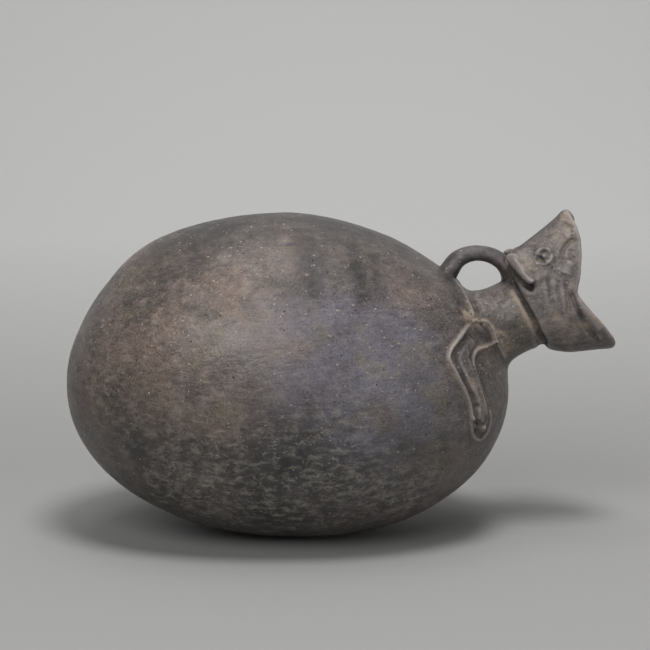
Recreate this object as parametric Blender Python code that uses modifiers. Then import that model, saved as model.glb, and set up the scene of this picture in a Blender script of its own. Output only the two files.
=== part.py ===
# A hollow blackware bottle lying on its belly: an egg-shaped body, a short slanted neck, an animal's
# head whose open jaws are the mouth, a strap handle and two forelegs in relief. One fired piece.
# Metres, +Z up, +X towards the head, and the origin in the middle of the flat spot that it rests on.

import math

import bmesh
import bpy
from mathutils import Matrix, Vector

# Body
BODY_LENGTH = 0.2210
BODY_HEIGHT = 0.1620
BODY_WIDTH = 0.1600
BODY_WALL = 0.0055
REAR_FULLNESS = 2.12
FRONT_FULLNESS = 2.02
REAR_DROOP = 0.0057
FRONT_DROOP = 0.0078
FLAT_DEPTH = 0.0009
RUMP_SWELL = 0.0013
RUMP_FLAT = 0.0007

# Neck
NECK_SEAT = 0.924
NECK_SLANT = math.radians(25)
NECK_LENGTH = 0.0197
NECK_RADIUS = 0.0178
NECK_WALL = 0.0048
FOOT_FLARE = 0.0016
NAPE_FLARE = 0.0014
FLARE_FADE = 0.0060

# Head, measured along the neck's line and up from it
HEAD_LENGTH = 0.0386
HEAD_WIDTH = 0.0450
HEAD_CROWN = 0.0287
HEAD_CHIN = 0.0241
CROWN_RISE = 0.243
CHIN_FALL = 0.37
CHEEK_TAPER = 0.13
HEAD_WALL = 0.0046
COLLAR_ROUND = 0.0034
EAR_LENGTH = 0.0235
EAR_WIDTH = 0.0096
EAR_THICKNESS = 0.0056
EYE_RING = 0.0037
NOSE_WIDTH = 0.0104

# Handle
STRAP_THICKNESS = 0.0078
STRAP_WIDTH = 0.0105
STRAP_SEAT = 0.730
STRAP_RISE = 0.0121

# Forelegs
LEG_RADIUS = 0.0062
LEG_RELIEF = 0.0021
RIDGE_RADIUS = 0.0019
RIDGE_RELIEF = 0.0016
PAW_WIDTH = 0.0094
PAW_LENGTH = 0.0160

# Surface of the clay
CLAY_COLOUR = (0.105, 0.094, 0.092, 1.0)
CLAY_ROUGHNESS = 0.55

# Faces round and along each form
BODY_SEGMENTS = 52
BODY_RINGS = 32
HOLLOW_SEGMENTS = 32
HOLLOW_RINGS = 20
NECK_SEGMENTS = 32
HEAD_SEGMENTS = 34
ROD_SIDES = 3

NECK_LINE = Vector((math.cos(NECK_SLANT), 0, math.sin(NECK_SLANT)))
NECK_UP = Vector((-math.sin(NECK_SLANT), 0, math.cos(NECK_SLANT)))


def clear_scene():
    for thing in list(bpy.data.objects):
        bpy.data.objects.remove(thing)


def new_collection(name):
    collection = bpy.data.collections.new(name)
    bpy.context.scene.collection.children.link(collection)
    return collection


def clay_material():
    clay = bpy.data.materials.new("blackware clay")
    clay.use_nodes = True
    shader = clay.node_tree.nodes["Principled BSDF"]
    shader.inputs["Base Color"].default_value = CLAY_COLOUR
    shader.inputs["Roughness"].default_value = CLAY_ROUGHNESS
    shader.inputs["Metallic"].default_value = 0.0
    return clay


# The body's side outline: its girth and how far its middle line droops, by the share of the half length

def girth(share):
    fullness = FRONT_FULLNESS if share > 0 else REAR_FULLNESS
    return math.sqrt(max(0.0, 1 - abs(share) ** fullness))


def droop(share):
    if share > 0:
        return FRONT_DROOP * share**1.1
    return REAR_DROOP * share**6


def lowest_share():
    """Where along the body its underside is lowest."""
    shares = [step / 500 for step in range(-200, 300)]
    return min(shares, key=lambda share: -droop(share) - BODY_HEIGHT / 2 * girth(share))


REST_SHARE = lowest_share()
BODY_X = -BODY_LENGTH / 2 * REST_SHARE
BODY_Z = droop(REST_SHARE) + BODY_HEIGHT / 2 * girth(REST_SHARE) - FLAT_DEPTH


def body_point(share, sideways, upwards, wall=0.0):
    """A point of the body, where sideways and upwards are shares of its half width and half height."""
    return Vector(
        (
            BODY_X + (BODY_LENGTH / 2 - wall) * share,
            (BODY_WIDTH / 2 - wall) * sideways,
            BODY_Z - droop(share) + (BODY_HEIGHT / 2 - wall) * upwards,
        )
    )


def on_body(share, degrees, side=1, lift=0.0):
    """A point on the body's skin, turned by degrees from the top towards one side, and lifted off it."""
    turn = math.radians(degrees)
    return body_point(share, side * girth(share) * math.sin(turn), girth(share) * math.cos(turn), -lift)


def unevenness(point):
    """How far the hand-built wall stands out over the rump, and in behind it."""
    swell = (point - on_body(-0.63, 0)).length / (0.16 * BODY_WIDTH)
    flat = (point - on_body(-0.86, 0)).length / (0.13 * BODY_WIDTH)
    return RUMP_SWELL * math.exp(-swell**2) - RUMP_FLAT * math.exp(-flat**2)


NECK_FOOT = on_body(NECK_SEAT, 0)
HEAD_BACK = NECK_FOOT + NECK_LINE * NECK_LENGTH


def head_point(along, up, sideways=0.0):
    """A point by its distance along the neck's line from the head's back edge, up from that line, and sideways."""
    return HEAD_BACK + NECK_LINE * along + NECK_UP * up + Vector((0, sideways, 0))


# Forms

def mesh_object(name, mesh, collection, material):
    form = bpy.data.objects.new(name, mesh)
    collection.objects.link(form)
    mesh.materials.append(material)
    return form


def egg(name, wall, segments, rings, collection, material):
    """The body's outer skin, or its hollow where wall is more than 0: a sphere drawn out to the body's outline."""
    form = bmesh.new()
    bmesh.ops.create_uvsphere(form, u_segments=segments, v_segments=rings, radius=1.0)
    for vertex in form.verts:
        sideways, upwards, pole = vertex.co
        fullness = FRONT_FULLNESS if pole > 0 else REAR_FULLNESS
        share = math.copysign(abs(pole) ** (2 / fullness), pole)
        point = body_point(share, sideways, upwards, wall)
        outward = (point - body_point(0, 0, 0)).normalized()
        vertex.co = point + outward * unevenness(point)
    mesh = bpy.data.meshes.new(name)
    form.to_mesh(mesh)
    form.free()
    return mesh_object(name, mesh, collection, material)


def neck_radius(step):
    """The neck's outer radius, at a distance along it from its foot: it flares at both ends."""
    foot = FOOT_FLARE * math.exp(-max(0.0, step) / FLARE_FADE)
    nape = NAPE_FLARE * math.exp((step - NECK_LENGTH) / FLARE_FADE)
    return NECK_RADIUS + foot + nape


def on_neck(step, degrees, side, lift=0.0):
    """A point on the neck's skin, turned by degrees from its top towards one side."""
    turn = math.radians(degrees)
    reach = neck_radius(step) + lift
    across = NECK_UP * (reach * math.cos(turn)) + Vector((0, side * reach * math.sin(turn), 0))
    return NECK_FOOT + NECK_LINE * step + across


def turned_neck(name, collection, material):
    """The neck as a turned solid on its slanted line, run on into the head and the body."""
    top = NECK_LENGTH + HEAD_WALL
    bottom = -3 * NECK_WALL
    steps = [NECK_LENGTH * part / 6 for part in (6, 5, 4, 3, 2, 1, 0)]
    profile = [(0, top), (neck_radius(NECK_LENGTH), top)]
    profile += [(neck_radius(step), step) for step in steps]
    profile += [(neck_radius(0), bottom), (0, bottom)]
    mesh = bpy.data.meshes.new(name)
    points = [(radius, 0, step) for radius, step in profile]
    mesh.from_pydata(points, [(i, i + 1) for i in range(len(points) - 1)], [])
    neck = mesh_object(name, mesh, collection, material)
    neck.location = NECK_FOOT
    neck.rotation_euler = (0, math.pi / 2 - NECK_SLANT, 0)
    screw = neck.modifiers.new("turned", "SCREW")
    screw.steps = screw.render_steps = NECK_SEGMENTS
    screw.use_merge_vertices = True
    screw.merge_threshold = 0.00001
    return neck


def head_section(along):
    """The head's outline across the neck's line, as (crown, chin, half width), rounded off at its back edge."""
    crown = HEAD_CROWN + CROWN_RISE * along
    chin = HEAD_CHIN + CHIN_FALL * along
    half_width = HEAD_WIDTH / 2 - CHEEK_TAPER * along
    if along < COLLAR_ROUND:
        rest = (COLLAR_ROUND - along) / COLLAR_ROUND
        pulled = COLLAR_ROUND * (1 - math.sqrt(1 - rest**2))
        return crown - pulled, chin - pulled, half_width - pulled
    return crown, chin, half_width


def bore_section(along):
    """The same for the hollow: the neck's round bore that opens out into the jaws."""
    bore = NECK_RADIUS - NECK_WALL
    opening = min(1.0, max(0.0, (along + 0.006) / 0.018))
    opening = opening * opening * (3 - 2 * opening)
    crown, chin, half_width = (size - HEAD_WALL for size in head_section(max(along, COLLAR_ROUND)))
    return (
        bore + (crown - bore) * opening,
        bore + (chin - bore) * opening,
        bore + (half_width - bore) * opening,
    )


def head_place(length_share, height_share):
    """Distances along and up, from shares of the head's length and of its crown, or of its chin below 0."""
    along = HEAD_LENGTH * length_share
    crown, chin, _ = head_section(along)
    return along, height_share * (crown if height_share > 0 else chin)


def on_head(length_share, height_share, side, lift=0.0):
    """A point on the side of the head, and the way out of its skin there."""
    along, up = head_place(length_share, height_share)
    crown, chin, half_width = head_section(along)
    half_height = (crown + chin) / 2
    rise = (up - (crown - chin) / 2) / half_height
    outwards = math.sqrt(max(0.0, 1 - rise**2))
    out = (NECK_UP * (rise / half_height) + Vector((0, side * outwards / half_width, 0))).normalized()
    return head_point(along, up, side * half_width * outwards) + out * lift, out


def loft(name, section, stations, segments, collection, material):
    """A closed skin through oval sections along the neck's line."""
    form = bmesh.new()
    rings = []
    for along in stations:
        crown, chin, half_width = section(along)
        middle, half_height = (crown - chin) / 2, (crown + chin) / 2
        ring = []
        for step in range(segments):
            turn = 2 * math.pi * step / segments
            up = middle + half_height * math.cos(turn)
            ring.append(form.verts.new(head_point(along, up, half_width * math.sin(turn))))
        rings.append(ring)
    for ring, following in zip(rings, rings[1:]):
        for step in range(segments):
            after = (step + 1) % segments
            form.faces.new((ring[step], ring[after], following[after], following[step]))
    form.faces.new(rings[0])
    form.faces.new(rings[-1])
    bmesh.ops.recalc_face_normals(form, faces=form.faces)
    mesh = bpy.data.meshes.new(name)
    form.to_mesh(mesh)
    form.free()
    return mesh_object(name, mesh, collection, material)


def smooth_path(points, steps):
    """Points of a Catmull-Rom curve through (x, y, z, radius) points."""
    ends = [2 * points[0] - points[1], *points, 2 * points[-1] - points[-2]]
    path = []
    for a, b, c, d in zip(ends, ends[1:], ends[2:], ends[3:]):
        for step in range(steps):
            t = step / steps
            path.append(
                b + (c - a) * (t / 2) + (2 * a - 5 * b + 4 * c - d) * (t * t / 2)
                + (3 * b - a - 3 * c + d) * (t * t * t / 2)
            )
    return path + [points[-1]]


def rod(name, places, radii, steps, collection, material, sides=ROD_SIDES, flatten=1.0):
    """A rod of clay through places, thick as radii say, made a mesh so that it can be joined."""
    points = [Vector((*place, radius)) for place, radius in zip(places, radii)]
    path = smooth_path(points, steps)
    curve = bpy.data.curves.new(name, "CURVE")
    curve.dimensions = "3D"
    curve.bevel_depth = 1.0
    curve.bevel_resolution = sides
    curve.use_fill_caps = True
    line = curve.splines.new("POLY")
    line.points.add(len(path) - 1)
    for point, place in zip(line.points, path):
        point.co = (place[0], place[1], place[2], 1)
        point.radius = place[3]
    drawn = bpy.data.objects.new(name + " line", curve)
    collection.objects.link(drawn)
    bpy.context.view_layer.update()
    evaluated = drawn.evaluated_get(bpy.context.evaluated_depsgraph_get())
    mesh = bpy.data.meshes.new_from_object(evaluated)
    bpy.data.objects.remove(drawn)
    form = bmesh.new()
    form.from_mesh(mesh)
    bmesh.ops.remove_doubles(form, verts=form.verts, dist=0.00001)
    for vertex in form.verts:
        vertex.co.y *= flatten
    bmesh.ops.recalc_face_normals(form, faces=form.faces)
    form.to_mesh(mesh)
    form.free()
    mesh.materials.clear()
    return mesh_object(name, mesh, collection, material)


def facing(out, lengthwise):
    """The turn that sets Z to face out and Y to run lengthwise."""
    level = (lengthwise - out * lengthwise.dot(out)).normalized()
    return Matrix((level.cross(out), level, out)).transposed()


def ball(name, centre, sizes, turn, collection, material, segments=16, rings=10):
    """A ball with its own width, length and height, turned and set down at centre."""
    form = bmesh.new()
    bmesh.ops.create_uvsphere(form, u_segments=segments, v_segments=rings, radius=0.5)
    place = Matrix.Translation(centre) @ turn.to_4x4() @ Matrix.Diagonal((*sizes, 1))
    bmesh.ops.transform(form, matrix=place, verts=form.verts)
    mesh = bpy.data.meshes.new(name)
    form.to_mesh(mesh)
    form.free()
    return mesh_object(name, mesh, collection, material)


def ring(name, centre, out, radius, thickness, collection, material):
    """A ring of clay laid round a place, facing outwards."""
    bpy.ops.mesh.primitive_torus_add(
        major_segments=20, minor_segments=8, major_radius=radius, minor_radius=thickness
    )
    drawn = bpy.context.object
    mesh = drawn.data
    mesh.transform(Matrix.Translation(centre) @ facing(out, NECK_UP).to_4x4())
    bpy.data.objects.remove(drawn)
    mesh.name = name
    return mesh_object(name, mesh, collection, material)


# Parts of the figure

def strap_handle(collection, material):
    """The arched loop from the body's shoulder to the nape, with its ends run on into the clay."""
    shoulder = on_body(STRAP_SEAT, 0)
    nape = head_point(-STRAP_THICKNESS / 5, NECK_RADIUS)
    half = STRAP_THICKNESS / 2
    arches = 8
    places = [shoulder + Vector((half, 0, -2 * half))]
    swells = [1.35]
    for step in range(arches + 1):
        turn = math.pi * step / arches
        share = (1 - math.cos(turn)) / 2
        places.append(shoulder.lerp(nape, share) + Vector((0, 0, STRAP_RISE * math.sin(turn))))
        swells.append(1.0 + 0.3 * (1 - share) ** 6 + 0.1 * share**6)
    places.append(nape + Vector((0, 0, -half)))
    swells.append(1.15)
    radii = [half * swell for swell in swells]
    return rod("strap handle", places, radii, 3, collection, material, 4, STRAP_WIDTH / STRAP_THICKNESS)


def foreleg(side, collection, material):
    """A foreleg in relief from the side of the neck to the paw, with the raised line along its outer edge."""
    sink = LEG_RELIEF - LEG_RADIUS
    limb = [on_neck(0.0, 84, side, sink)]
    limb += [
        on_body(0.843, 47.5, side, sink),
        on_body(0.783, 57, side, sink),
        on_body(0.753, 66, side, sink),
        on_body(0.780, 75, side, sink),
        on_body(0.813, 84, side, sink),
        on_body(0.838, 94, side, sink),
        on_body(0.846, 102, side, sink),
    ]
    thickness = [LEG_RADIUS * share for share in (0.8, 0.95, 1.0, 1.0, 0.95, 0.9, 0.9, 0.9)]
    pieces = [rod(f"foreleg {side}", limb, thickness, 2, collection, material, 3)]
    sink = RIDGE_RELIEF - RIDGE_RADIUS
    line = [on_neck(0.0004, 102, side, sink), on_neck(0.0016, 87, side, sink), on_neck(0.0010, 74, side, sink)]
    line += [
        on_body(0.838, 37, side, sink),
        on_body(0.749, 54.7, side, sink),
        on_body(0.697, 66.7, side, sink),
        on_body(0.728, 73.3, side, sink),
        on_body(0.768, 81.9, side, sink),
        on_body(0.796, 90.2, side, sink),
        on_body(0.806, 99, side, sink),
    ]
    thickness = [RIDGE_RADIUS * share for share in (0.8, 0.9, 0.9, 1.0, 1.15, 1.2, 1.2, 1.1, 1.0, 0.8)]
    pieces.append(rod(f"foreleg edge {side}", line, thickness, 2, collection, material, 2))
    paw = on_body(0.846, 104, side, -0.0008)
    out = (paw - body_point(0.6, 0, 0)).normalized()
    turn = facing(out, on_body(0.846, 114, side) - on_body(0.846, 94, side))
    sizes = (PAW_WIDTH, PAW_LENGTH, LEG_RELIEF * 3.4)
    pieces.append(ball(f"paw {side}", paw, sizes, turn, collection, material))
    return pieces


def ear(side, collection, material):
    """A laid-back ear across the upper back corner of the head, with its rear edge lifted."""
    root, _ = on_head(0.195, 0.42, side)
    tip, _ = on_head(0.055, 0.955, side)
    seat, out = on_head(0.125, 0.76, side, EAR_THICKNESS * 0.10)
    lifted = (out - NECK_LINE * 0.35).normalized()
    sizes = (EAR_WIDTH, EAR_LENGTH, EAR_THICKNESS)
    return ball(f"ear {side}", seat, sizes, facing(lifted, root - tip), collection, material)


def eye(side, collection, material):
    """A ball eye in a raised ring on the side of the head."""
    seat, out = on_head(0.455, 0.714, side)
    ball_size = (EYE_RING * 1.15, EYE_RING * 1.15, EYE_RING)
    return [
        ring(f"eye ring {side}", seat, out, EYE_RING, EYE_RING * 0.28, collection, material),
        ball(f"eyeball {side}", seat, ball_size, facing(out, NECK_UP), collection, material, 12, 8),
    ]


def nose(collection, material):
    """The round nose at the tip of the upper jaw."""
    sizes = (NOSE_WIDTH, NOSE_WIDTH * 0.68, NOSE_WIDTH * 0.78)
    return ball("nose", head_point(*head_place(0.940, 0.885)), sizes, facing(NECK_UP, NECK_LINE), collection, material)


def jaw_cutter(collection, material):
    """A flat outline pushed through the head from side to side, which leaves the lips and the mouth's corners."""
    upper_lip = [(0.984, 1.4), (0.995, 0.948), (1.000, 0.762), (0.977, 0.616), (0.894, 0.432), (0.769, 0.204),
                 (0.653, 0.035)]
    lower_lip = [(0.653, -0.060), (0.705, -0.281), (0.806, -0.603), (0.850, -0.800), (0.852, -0.895),
                 (0.819, -0.963), (0.738, -1.015), (0.738, -1.4)]
    clear = [(1.8, -1.4), (1.8, 1.4)]
    curve = bpy.data.curves.new("jaw cutter", "CURVE")
    curve.dimensions = "2D"
    curve.fill_mode = "BOTH"
    curve.extrude = HEAD_WIDTH
    outline = upper_lip + lower_lip + clear
    line = curve.splines.new("POLY")
    line.points.add(len(outline) - 1)
    for point, (length_share, height_share) in zip(line.points, outline):
        point.co = (*head_place(length_share, height_share), 0, 1)
    line.use_cyclic_u = True
    drawn = bpy.data.objects.new("jaw outline", curve)
    collection.objects.link(drawn)
    bpy.context.view_layer.update()
    mesh = bpy.data.meshes.new_from_object(drawn.evaluated_get(bpy.context.evaluated_depsgraph_get()))
    bpy.data.objects.remove(drawn)
    form = bmesh.new()
    form.from_mesh(mesh)
    bmesh.ops.remove_doubles(form, verts=form.verts, dist=0.00001)
    across = NECK_LINE.cross(NECK_UP)
    stand = Matrix((NECK_LINE, NECK_UP, across)).transposed().to_4x4()
    bmesh.ops.transform(form, matrix=Matrix.Translation(HEAD_BACK) @ stand, verts=form.verts)
    bmesh.ops.recalc_face_normals(form, faces=form.faces)
    form.to_mesh(mesh)
    form.free()
    mesh.materials.clear()
    return mesh_object("jaw cutter", mesh, collection, material)


def floor_cutter(collection, material):
    """The block that takes the flat spot off the underside."""
    reach = BODY_WIDTH / 2
    form = bmesh.new()
    bmesh.ops.create_cube(form, size=1.0)
    block = Matrix.Translation((0, 0, -reach / 2)) @ Matrix.Diagonal((reach, reach, reach, 1))
    bmesh.ops.transform(form, matrix=block, verts=form.verts)
    mesh = bpy.data.meshes.new("floor cutter")
    form.to_mesh(mesh)
    form.free()
    return mesh_object("floor cutter", mesh, collection, material)


def work_in(bottle, helper, operation):
    helper.hide_render = True
    helper.display_type = "WIRE"
    step = bottle.modifiers.new(helper.name, "BOOLEAN")
    step.operation = operation
    step.object = helper
    step.solver = "EXACT"


def build_bottle():
    clear_scene()
    bottle_parts = new_collection("bottle")
    helpers = new_collection("clay added and cut away")
    clay = clay_material()

    bottle = egg("bottle", 0.0, BODY_SEGMENTS, BODY_RINGS, bottle_parts, clay)
    stations = [0.0, COLLAR_ROUND * 0.15, COLLAR_ROUND * 0.5, COLLAR_ROUND]
    stations += [HEAD_LENGTH * share for share in (0.16, 0.30, 0.44, 0.58, 0.72, 0.86, 1.1)]
    added = [
        turned_neck("neck", helpers, clay),
        loft("head", head_section, stations, HEAD_SEGMENTS, helpers, clay),
        strap_handle(helpers, clay),
    ]
    for side in (-1, 1):
        added += foreleg(side, helpers, clay)
        added += [ear(side, helpers, clay)]
        added += eye(side, helpers, clay)
    for helper in added:
        work_in(bottle, helper, "UNION")

    bore_stations = [-NECK_LENGTH - 5 * BODY_WALL]
    bore_stations += [HEAD_LENGTH * share for share in (-0.16, -0.06, 0.04, 0.15, 0.3, 0.45, 0.6, 0.75, 0.9, 1.3)]
    removed = [
        jaw_cutter(helpers, clay),
        egg("body hollow", BODY_WALL, HOLLOW_SEGMENTS, HOLLOW_RINGS, helpers, clay),
        loft("bore", bore_section, bore_stations, HEAD_SEGMENTS - 8, helpers, clay),
        floor_cutter(helpers, clay),
    ]
    for helper in removed:
        work_in(bottle, helper, "DIFFERENCE")
    work_in(bottle, nose(helpers, clay), "UNION")

    bottle.data.shade_smooth()
    bottle.data.set_sharp_from_angle(angle=math.radians(35))
    return bottle


build_bottle()
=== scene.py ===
# An old blackware bottle in the form of a crouching animal: the hand-shaped clay, its worn and sooted skin,
# and the pale sweep of paper that it lies on.

import math

import bpy
import numpy as np
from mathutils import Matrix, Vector


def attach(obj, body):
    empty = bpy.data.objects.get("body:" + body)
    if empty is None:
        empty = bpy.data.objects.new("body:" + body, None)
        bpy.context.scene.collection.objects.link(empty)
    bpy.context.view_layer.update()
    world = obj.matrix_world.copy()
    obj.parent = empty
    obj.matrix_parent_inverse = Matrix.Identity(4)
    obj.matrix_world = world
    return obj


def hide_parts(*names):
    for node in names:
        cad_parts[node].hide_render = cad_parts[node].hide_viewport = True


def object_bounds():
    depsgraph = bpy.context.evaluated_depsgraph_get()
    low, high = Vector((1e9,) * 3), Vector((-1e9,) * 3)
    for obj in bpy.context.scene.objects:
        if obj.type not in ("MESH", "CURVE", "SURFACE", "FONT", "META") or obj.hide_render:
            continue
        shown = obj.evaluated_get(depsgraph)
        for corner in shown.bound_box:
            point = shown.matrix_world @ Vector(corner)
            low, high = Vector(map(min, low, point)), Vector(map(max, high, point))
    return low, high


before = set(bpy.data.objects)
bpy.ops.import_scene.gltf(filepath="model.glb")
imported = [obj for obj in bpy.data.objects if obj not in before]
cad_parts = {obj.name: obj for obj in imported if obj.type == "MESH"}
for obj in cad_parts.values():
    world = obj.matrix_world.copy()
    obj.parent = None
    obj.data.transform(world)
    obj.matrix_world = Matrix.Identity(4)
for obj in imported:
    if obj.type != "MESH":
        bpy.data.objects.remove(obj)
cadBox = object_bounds()
bpy.ops.object.select_all(action="DESELECT")

# The forms that the marks are laid on

bodyForm = {
    "length": 0.2210,
    "height": 0.1620,
    "width": 0.1600,
    "wall": 0.0055,
    "rearFullness": 2.12,
    "frontFullness": 2.02,
    "rearDroop": 0.0057,
    "frontDroop": 0.0078,
    "flatDepth": 0.0009,
    "rumpSwell": 0.0013,
    "rumpFlat": 0.0007,
}
neckForm = {
    "seat": 0.924,
    "slant": math.radians(25),
    "length": 0.0197,
    "radius": 0.0178,
    "footFlare": 0.0016,
    "napeFlare": 0.0014,
    "flareFade": 0.0060,
    "fillet": 0.0022,  # how softly the neck runs into the body
}
headForm = {
    "length": 0.0386,
    "width": 0.0450,
    "crown": 0.0287,
    "chin": 0.0241,
    "crownRise": 0.243,
    "chinFall": 0.37,
    "cheekTaper": 0.13,
}
strapForm = {"seat": 0.730, "thickness": 0.0078, "rise": 0.0121}

farOff = 1.0  # stands for a distance beyond every reach, in metres


def girth(share):
    # the body's girth at a share of its half length, as a share of the fullest one
    fullness = np.where(np.asarray(share) > 0, bodyForm["frontFullness"], bodyForm["rearFullness"])
    return np.sqrt(np.clip(1 - np.abs(share) ** fullness, 0, None))


def droop(share):
    # how far the body's middle line hangs down there
    front = bodyForm["frontDroop"] * np.abs(share) ** 1.1
    rear = bodyForm["rearDroop"] * np.abs(share) ** 6
    return np.where(np.asarray(share) > 0, front, rear)


def findMiddle():
    # the egg's middle, with its lowest point cut flat and set on the floor over the origin
    shares = np.arange(-200, 300) / 500
    under = droop(shares) + bodyForm["height"] / 2 * girth(shares)
    lowest = shares[np.argmax(under)]
    return np.array([-bodyForm["length"] / 2 * lowest, 0, under.max() - bodyForm["flatDepth"]])


bodyMiddle = findMiddle()


def onBody(share, degrees, side=-1):
    # a place on the body's skin, by its share of the half length and its turn from the back
    turn = math.radians(degrees)
    across = bodyForm["width"] / 2 * float(girth(share)) * math.sin(turn)
    up = bodyForm["height"] / 2 * float(girth(share)) * math.cos(turn) - float(droop(share))
    return bodyMiddle + np.array([bodyForm["length"] / 2 * share, side * across, up])


def unevenness(points):
    # the rump's swelling and the flatter place on it
    swell = np.linalg.norm(points - onBody(-0.63, 0), axis=1) / (0.16 * bodyForm["width"])
    flat = np.linalg.norm(points - onBody(-0.86, 0), axis=1) / (0.13 * bodyForm["width"])
    return bodyForm["rumpSwell"] * np.exp(-(swell**2)) - bodyForm["rumpFlat"] * np.exp(-(flat**2))


def aboveBody(points, wall=0.0):
    # height over the egg's skin, and the way out from the egg's middle
    away = points - bodyMiddle
    reach = np.linalg.norm(away, axis=1)
    stretch = np.ones(len(points))
    for _ in range(9):
        share = away[:, 0] * stretch / (bodyForm["length"] / 2 - wall)
        fullness = np.where(share > 0, bodyForm["frontFullness"], bodyForm["rearFullness"])
        across = away[:, 1] * stretch / (bodyForm["width"] / 2 - wall)
        up = (away[:, 2] * stretch + droop(share)) / (bodyForm["height"] / 2 - wall)
        stretch /= np.sqrt(np.abs(share) ** fullness + across**2 + up**2)
    outward = away / reach[:, None]
    skin = bodyMiddle + away * stretch[:, None]
    return reach - reach * stretch - unevenness(skin), outward


neckLine = np.array([math.cos(neckForm["slant"]), 0, math.sin(neckForm["slant"])])
neckUp = np.array([-math.sin(neckForm["slant"]), 0, math.cos(neckForm["slant"])])
neckFoot = onBody(neckForm["seat"], 0)
headBack = neckFoot + neckLine * neckForm["length"]


def neckRadius(step):
    # the neck flares at its foot and at the nape
    foot = neckForm["footFlare"] * np.exp(-np.clip(step, 0, None) / neckForm["flareFade"])
    nape = neckForm["napeFlare"] * np.exp((step - neckForm["length"]) / neckForm["flareFade"])
    return neckForm["radius"] + foot + nape


def onNeck(step, degrees, side=-1):
    # a place on the neck's skin, by its distance from the foot and its turn from the top
    turn = math.radians(degrees)
    reach = float(neckRadius(step))
    across = neckUp * (reach * math.cos(turn)) + np.array([0, side * reach * math.sin(turn), 0])
    return neckFoot + neckLine * step + across


def aboveNeck(points):
    away = points - neckFoot
    step = away @ neckLine
    across = away - step[:, None] * neckLine
    return np.linalg.norm(across, axis=1) - neckRadius(step), step


def headSection(along):
    # the head's height over and under its middle line, and half its width
    crown = headForm["crown"] + headForm["crownRise"] * along
    chin = headForm["chin"] + headForm["chinFall"] * along
    return crown, chin, headForm["width"] / 2 - headForm["cheekTaper"] * along


def onHead(lengthShare, heightShare, side=-1):
    # a place on the head's skin, by its shares of the length and of the crown's or the chin's height
    along = headForm["length"] * lengthShare
    crown, chin, halfWidth = headSection(along)
    up = heightShare * (crown if heightShare > 0 else chin)
    rise = (up - (crown - chin) / 2) / ((crown + chin) / 2)
    outwards = math.sqrt(max(0.0, 1 - rise**2))
    return headBack + neckLine * along + neckUp * up + np.array([0, side * halfWidth * outwards, 0])


def aboveHead(points):
    # height over the head's plain section, the way out from it, and the shares of its length and height
    away = points - headBack
    along = away @ neckLine
    up = away @ neckUp
    crown, chin, halfWidth = headSection(along)
    tall = (crown + chin) / 2
    rise = (up - (crown - chin) / 2) / tall
    across = points[:, 1] / halfWidth
    reach = np.maximum(np.sqrt(rise**2 + across**2), 1e-6)
    sideways = np.array([0, 1, 0])
    slope = (rise / tall / reach)[:, None] * neckUp + (across / halfWidth / reach)[:, None] * sideways
    steep = np.linalg.norm(slope, axis=1)
    shares = along / headForm["length"], np.where(up > 0, up / crown, up / chin)
    return (reach - 1) / steep, slope / steep[:, None], *shares


placeOn = {"body": onBody, "neck": onNeck, "head": onHead}


def on(form, *pairs):
    # places on one form
    return [(form, *pair) for pair in pairs]


def smoothLine(points, steps=6):
    # a curve drawn through the points
    points = [np.asarray(point, float) for point in points]
    ends = [2 * points[0] - points[1], *points, 2 * points[-1] - points[-2]]
    line = []
    for a, b, c, d in zip(ends, ends[1:], ends[2:], ends[3:]):
        for step in range(steps):
            t = step / steps
            line.append(
                b + (c - a) * (t / 2) + (2 * a - 5 * b + 4 * c - d) * (t * t / 2)
                + (3 * b - a - 3 * c + d) * (t**3 / 2)
            )
    return np.array(line + [points[-1]])


def drawLine(places, side):
    return smoothLine([placeOn[form](first, second, side) for form, first, second in places])


def nearLine(points, line, reach):
    # how far each point is from a line, and how far along the line that is
    distance = np.full(len(points), farOff)
    share = np.zeros(len(points))
    near = np.flatnonzero(((points > line.min(0) - reach) & (points < line.max(0) + reach)).all(1))
    some = points[near]
    best = np.full(len(near), farOff)
    bestShare = np.zeros(len(near))
    for index, (start, end) in enumerate(zip(line, line[1:])):
        run = end - start
        t = np.clip((some - start) @ run / max(run @ run, 1e-12), 0, 1)
        gap = np.linalg.norm(some - start - t[:, None] * run, axis=1)
        closer = gap < best
        best[closer] = gap[closer]
        bestShare[closer] = (index + t[closer]) / (len(line) - 1)
    distance[near] = best
    share[near] = bestShare
    return distance, share


def ease(value):
    # a soft step from 0 to 1
    value = np.clip(value, 0, 1)
    return value * value * (3 - 2 * value)


def readPoints(piece):
    flat = np.empty(len(piece.data.vertices) * 3)
    piece.data.vertices.foreach_get("co", flat)
    return flat.reshape(-1, 3)


def writePoints(piece, points):
    piece.data.vertices.foreach_set("co", np.ascontiguousarray(points).ravel())
    piece.data.update()


def readNormals(piece):
    flat = np.empty(len(piece.data.vertices) * 3)
    piece.data.vertex_normals.foreach_get("vector", flat)
    return flat.reshape(-1, 3)


def useModifier(piece, kind, **settings):
    # adds one modifier and applies it
    step = piece.modifiers.new(kind.lower(), kind)
    for name, value in settings.items():
        setattr(step, name, value)
    bpy.context.view_layer.objects.active = piece
    bpy.ops.object.modifier_apply(modifier=step.name)


def thinFaces(piece, chosen, left):
    # decimates among the chosen points only, until so many triangles of theirs are left
    group = piece.vertex_groups.new(name="thinned")
    group.add(np.flatnonzero(chosen).tolist(), 1.0, "REPLACE")
    total = countTriangles(piece)
    taken = max(0, 2 * int(chosen.sum()) - left)
    ratio = 1 - taken / total
    useModifier(piece, "DECIMATE", ratio=ratio, vertex_group="thinned", vertex_group_factor=1000)
    piece.vertex_groups.clear()


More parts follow.
